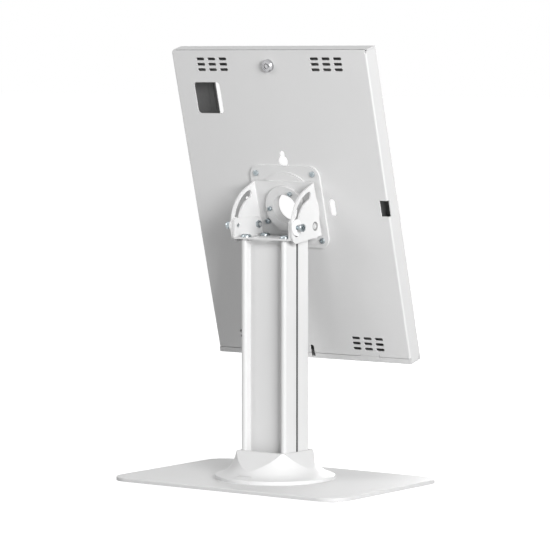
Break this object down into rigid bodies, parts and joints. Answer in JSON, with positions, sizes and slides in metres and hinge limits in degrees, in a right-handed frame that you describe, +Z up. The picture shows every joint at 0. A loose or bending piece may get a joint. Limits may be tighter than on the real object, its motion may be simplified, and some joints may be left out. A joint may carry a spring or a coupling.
{
  "type": "tablet kiosk stand",
  "caption": "Desktop stand with a lockable tablet enclosure on a tilting and swivelling head, carried by a channelled pillar on a flat base.",
  "frame": {"origin": "on the table, under the middle of the pillar and of the base", "axes": "+Z up, the screen opening faces -Y, +X to the left of a person who stands behind the head"},
  "size_m": [0.304, 0.2032, 0.4719],
  "materials": {
    "white_coat": "satin white powder coat",
    "cover_plastic": "satin white plastic",
    "foot_rubber": "matt",
    "zinc_steel": "zinc plated",
    "white_nylon": "smooth",
    "slide_nylon": "smooth",
    "lock_chrome": "polished",
    "foam": "open foam",
    "pale_foam": "fine pale foam"
  },
  "bodies": {
    "stand": {"base_plate": "white_coat", "rubber_feet": "foot_rubber", "pillar": "white_coat", "base_cover": "cover_plastic", "cable_door": "cover_plastic", "pillar_base_screws": "zinc_steel", "cover_screws": "zinc_steel", "hinge_yoke": "white_coat", "yoke_screws": "zinc_steel", "pivot_bolts": "zinc_steel", "pivot_nuts": "zinc_steel", "pivot_washers": "slide_nylon", "tilt_lock_washers": "white_nylon", "tilt_lock_bolts": "zinc_steel"},
    "tilting_head": {"tilt_bracket": "white_coat", "swivel_washers": "slide_nylon", "swivel_set_screws": "zinc_steel"},
    "swivelling_case": {"swivel_disc": "white_coat", "hub_ring": "white_coat", "hub_ring_screws": "zinc_steel", "disc_rivets": "zinc_steel", "vesa_plate": "white_coat", "vesa_screws": "zinc_steel", "clinch_nuts": "zinc_steel", "back_tray": "white_coat", "lock_housing": "lock_chrome", "lock_nut": "zinc_steel", "tablet_pads": "foam", "tablet_spacers": "foam"},
    "opening_frame": {"front_frame": "white_coat", "bezel_gasket": "pale_foam", "lock_catch": "white_coat"},
    "key_plug": {"lock_plug": "lock_chrome", "lock_cam": "zinc_steel", "cam_screw": "zinc_steel"}
  },
  "joints": [
    {"name": "head_tilt", "type": "hinge", "parent": "stand", "child": "tilting_head", "pos_m": [0, -0.018, 0.2782], "axis": [-1, 0, 0], "range_deg": [-9.8, 70]},
    {"name": "case_swivel", "type": "hinge", "parent": "tilting_head", "child": "swivelling_case", "pos_m": [0, -0.0283, 0.2983], "axis": [0, 0.9668, -0.2554], "range_deg": [-90, 90]},
    {"name": "frame_opening", "type": "hinge", "parent": "swivelling_case", "child": "opening_frame", "pos_m": [0, -0.07136, 0.13534], "axis": [1, 0, 0], "range_deg": [0, 90]},
    {"name": "lock_turn", "type": "hinge", "parent": "swivelling_case", "child": "key_plug", "pos_m": [0, 0.01201, 0.45087], "axis": [0, 0.9668, -0.2554], "range_deg": [0, 90]}
  ]
}
